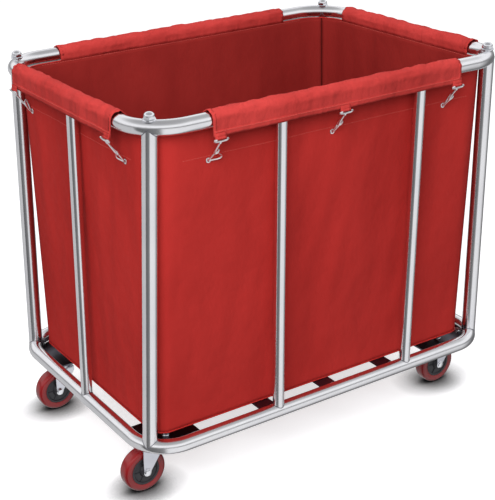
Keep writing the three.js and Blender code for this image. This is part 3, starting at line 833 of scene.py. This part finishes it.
def hook(name, joint):
    """A wire snap: a horned yoke through the flap's tab, a stem, a curled toe and a sprung tongue."""
    pivot = Vector(joint["pos_m"])
    axis = Vector(joint["axis"])
    away = axis.cross(Vector((0, 0, 1))).normalized()  # from the hook towards the bag
    if away.dot(pivot.to_2d().to_3d()) > 0:
        away = -away
    down = Vector((0, 0, -1)) * math.cos(HOOK_TILT) + away * math.sin(HOOK_TILT)
    toward = away * math.cos(HOOK_TILT) + Vector((0, 0, 1)) * math.sin(HOOK_TILT)

    def at(x, y, z):
        """x along the yoke, y towards the bag, z down the stem, all in millimetres."""
        return pivot + (axis * x + toward * y + down * z) * MM

    wire = 2.0 * MM
    shape = Shape()
    horns = [at(side * x, y, z) for side in (-1, 1)
             for x, y, z in [(11.2, -0.6, -5.4), (13.6, -0.5, -5.8), (15.4, -0.3, -4.2),
                             (15.2, 0, -1.6), (12.6, 0, 0.2), (7, 0, 1.0)]]
    shape.sweep(horns[:6] + [at(0, 0, 1.4)] + horns[:5:-1], wire, 10)
    toe = HOOK_LENGTH - 6
    stem = [at(0, 0, 1), at(0.4, 0, 12), at(1.2, 0, 24), at(1.6, 0, toe)]
    stem += [at(1.6 - 4.4 * (1 - math.cos(a)), 0.6, toe + 4.4 * math.sin(a))
             for a in [math.radians(20 * k) for k in range(1, 10)]]
    stem.append(at(-7.4, 0.8, toe - 5))
    shape.sweep(stem, wire, 10)
    shape.lathe([(2.4 * MM, -3 * MM), (3.1 * MM, -2 * MM), (3.1 * MM, 2 * MM), (2.4 * MM, 3 * MM)],
                at(0, 0, 5), down, 16)
    shape.make(name + "_snap", WIRE_ZINC, name + "_body", "zinc", replaces=[name])
    spring = [at(0.4, 0.8, 17), at(-3.6, 0.8, 24), at(-6, 0.8, 31), at(-7.2, 0.8, toe - 5)]
    tongue = Shape().sweep(spring, 1.0 * MM, 8)
    tongue.make(name + "_tongue", CHROME, name + "_body", "zinc")
    return axis, away, at(-2.8, 0.6, toe + 2.6)


def wire_link(name, start, axis, away, eyelet):
    """The D-shaped wire link between a hook's toe and its eyelet, which stays on the bag."""
    run = eyelet - start
    twist = 0 if name.endswith("1") else 0.9
    along = axis * math.cos(twist) * math.copysign(1, axis.x or axis.y)
    spread = (along + Vector((0, 0, 1)) * math.sin(twist)) * 26 * MM
    loop = [start - run * 0.12, start + spread * 0.16, start + run * 0.7 + spread,
            eyelet - away * 1 * MM + spread * 0.92, eyelet, start + run * 0.9 - spread * 0.08,
            start - spread * 0.1]
    smooth = []
    for i, a in enumerate(loop):
        b = loop[(i + 1) % len(loop)]
        smooth += [a.lerp(b, t) for t in (0.2, 0.5, 0.8)]
    Shape().sweep(smooth, 1.6 * MM, 8, closed=True).make(name + "_link", WIRE_ZINC, "frame", "zinc")


def eyelet_ring(name, place, outward):
    """A pressed eyelet where the link goes through the bag."""
    profile = [(2.6 * MM, -0.4 * MM), (3.4 * MM, 0.9 * MM), (5 * MM, 0.9 * MM), (5.8 * MM, 0),
               (5.6 * MM, -0.3 * MM), (3 * MM, -0.4 * MM)]
    ring = Shape().lathe(profile, place, outward, 24, closed=True)
    ring.make(name + "_eyelet", WIRE_ZINC, "frame", "zinc")


def hooks():
    for joint in frame["joints"]:
        name = joint["child"].removesuffix("_body")
        if not name.startswith("hook_"):
            continue
        axis, away, toe = hook(name, joint)
        panel = next(p for p in PANELS if p.name == name.split("_")[1])
        pivot = Vector(joint["pos_m"])
        station = ("run", (panel.turn.inverted() @ pivot).x / panel.rail_run)
        eyelet = panel.place(station, EYELET_Z, panel.relief(station, EYELET_Z) + CLOTH)
        wire_link(name, toe, axis, away, eyelet - away * 2 * MM)
        eyelet_ring(name, eyelet, -away)


# Stage, light and camera

def colour_stops(nodes, tones):
    """A ramp of slightly cool greys from (position, tone) pairs."""
    stops = nodes.new("ShaderNodeValToRGB")
    elements = stops.color_ramp.elements
    for k, (position, tone) in enumerate(tones):
        stop = elements[k] if k < 2 else elements.new(position)
        stop.position = position
        stop.color = (tone, tone, tone * 1.02, 1)
    return stops


def studio_floor():
    """A pale floor that glows enough to stay white, with a painted contact shadow: its glow and colour dim
    close to what stands on it.
    """
    mesh = bpy.data.meshes.new("floor")
    size = 30
    corners = [(-size, -size, 0), (size, -size, 0), (size, size, 0), (-size, size, 0)]
    mesh.from_pydata(corners, [], [(0, 1, 2, 3)])
    floor = bpy.data.objects.new("studio_floor", mesh)
    bpy.context.scene.collection.objects.link(floor)
    material = new_material("pale_floor", (0.80, 0.80, 0.80), 0.9)
    nodes, links, shader = nodes_of(material)
    shader.inputs["Specular IOR Level"].default_value = 0
    shader.inputs["Emission Color"].default_value = (1, 1, 1, 1)
    # Ambient occlusion darkens the floor's colour and dims its glow close to the wheels: a painted contact
    # shadow.
    contact = nodes.new("ShaderNodeAmbientOcclusion")
    contact.samples = 12
    contact.inputs["Distance"].default_value = CONTACT_SHADOW_REACH
    darker = nodes.new("ShaderNodeMath")
    darker.operation = "POWER"
    links.new(contact.outputs["AO"], darker.inputs[0])
    darker.inputs[1].default_value = CONTACT_SHADOW_DEPTH
    tone = colour_stops(nodes, [(0.0, 0.0), (1.0, 0.80)])
    links.new(darker.outputs["Value"], tone.inputs["Fac"])
    feed(material, "Base Color", tone.outputs["Color"])
    glow = nodes.new("ShaderNodeMath")
    glow.operation = "MULTIPLY"
    links.new(darker.outputs["Value"], glow.inputs[0])
    glow.inputs[1].default_value = FLOOR_GLOW
    feed(material, "Emission Strength", glow.outputs["Value"])
    mesh.materials.append(material)
    floor.visible_glossy = False
    floor.visible_diffuse = False


def studio_world():
    """White behind the trolley, even light from all round, and bands of light and dark for the
    steel to mirror."""
    world = bpy.data.worlds.new("studio")
    bpy.context.scene.world = world
    world.use_nodes = True
    nodes, links = world.node_tree.nodes, world.node_tree.links
    nodes.clear()
    coordinates = nodes.new("ShaderNodeTexCoord")
    gradient = nodes.new("ShaderNodeTexGradient")
    gradient.gradient_type = "RADIAL"
    links.new(coordinates.outputs["Generated"], gradient.inputs["Vector"])
    around = colour_stops(nodes, [
        (0.0, 0.62), (0.008, 0.13), (0.06, 0.15), (0.15, 0.24), (0.175, 0.9), (0.36, 0.86),
        (0.42, 0.45), (0.48, 0.16), (0.60, 0.2), (0.66, 0.5), (0.80, 0.58), (0.99, 0.62)])
    links.new(gradient.outputs["Fac"], around.inputs["Fac"])
    split = nodes.new("ShaderNodeSeparateXYZ")
    links.new(coordinates.outputs["Generated"], split.inputs["Vector"])
    rise = nodes.new("ShaderNodeMath")
    rise.operation = "MULTIPLY_ADD"
    rise.inputs[1].default_value = 0.5
    rise.inputs[2].default_value = 0.5
    links.new(split.outputs["Z"], rise.inputs[0])
    above = colour_stops(nodes, [
        (0.0, 0.3), (0.5, 0.3), (0.58, 0.3), (0.64, 1.0), (0.80, 1.0), (0.9, 0.5), (1.0, 0.4)])
    links.new(rise.outputs["Value"], above.inputs["Fac"])
    below = colour_stops(nodes, [(0.47, 1.0), (0.53, 0.0)])
    links.new(rise.outputs["Value"], below.inputs["Fac"])
    bands = nodes.new("ShaderNodeMixRGB")
    links.new(below.outputs["Color"], bands.inputs["Fac"])
    links.new(above.outputs["Color"], bands.inputs["Color1"])
    links.new(around.outputs["Color"], bands.inputs["Color2"])
    rays = nodes.new("ShaderNodeLightPath")
    mirrored = nodes.new("ShaderNodeBackground")
    links.new(bands.outputs["Color"], mirrored.inputs["Color"])
    even = nodes.new("ShaderNodeBackground")
    lift = colour_stops(nodes, [(0.35, 0.13), (0.6, 0.5)])
    links.new(rise.outputs["Value"], lift.inputs["Fac"])
    links.new(lift.outputs["Color"], even.inputs["Color"])
    white = nodes.new("ShaderNodeBackground")
    white.inputs["Color"].default_value = (1, 1, 1, 1)
    lit = nodes.new("ShaderNodeMixShader")
    links.new(rays.outputs["Is Glossy Ray"], lit.inputs["Fac"])
    links.new(even.outputs["Background"], lit.inputs[1])
    links.new(mirrored.outputs["Background"], lit.inputs[2])
    seen = nodes.new("ShaderNodeMixShader")
    links.new(rays.outputs["Is Camera Ray"], seen.inputs["Fac"])
    links.new(lit.outputs["Shader"], seen.inputs[1])
    links.new(white.outputs["Background"], seen.inputs[2])
    output = nodes.new("ShaderNodeOutputWorld")
    links.new(seen.outputs["Shader"], output.inputs["Surface"])


def studio():
    studio_floor()
    studio_world()
    softbox("key", (-2.0, -2.2, 2.4), (0, 0, 0.6), 1.9, 84)
    softbox("top", (0.3, 0.4, 4.2), (0, 0, 0.4), 3.0, 42)


def softbox(name, place, target, size, power):
    light = bpy.data.lights.new(name, "AREA")
    light.shape = "SQUARE"
    light.size = size
    light.energy = power
    lamp = bpy.data.objects.new(name, light)
    lamp.location = place
    lamp.visible_glossy = False
    lamp.visible_camera = False
    lamp.rotation_euler = (Vector(target) - Vector(place)).to_track_quat("-Z", "Y").to_euler()
    bpy.context.scene.collection.objects.link(lamp)


def camera():
    data = bpy.data.cameras.new("camera")
    data.sensor_fit = "HORIZONTAL"
    data.sensor_width = 36
    data.lens = 87.64
    data.shift_x = 0.125
    data.shift_y = -0.005
    eye = bpy.data.objects.new("camera", data)
    eye.location = (-1.4922, -2.1531, 1.5144)
    yaw, pitch, roll = 0.5468, 0.4057, 0.0298
    eye.rotation_euler = (Matrix.Rotation(-yaw, 3, "Z") @ Matrix.Rotation(math.pi / 2 - pitch, 3, "X")
                          @ Matrix.Rotation(-roll, 3, "Z")).to_euler()
    bpy.context.scene.collection.objects.link(eye)
    bpy.context.scene.camera = eye
    bpy.context.scene.view_settings.view_transform = "Standard"


frame_rings()
posts()
acorn_nuts()
slats_and_plates()
casters()
bag()
hooks()
studio()
camera()
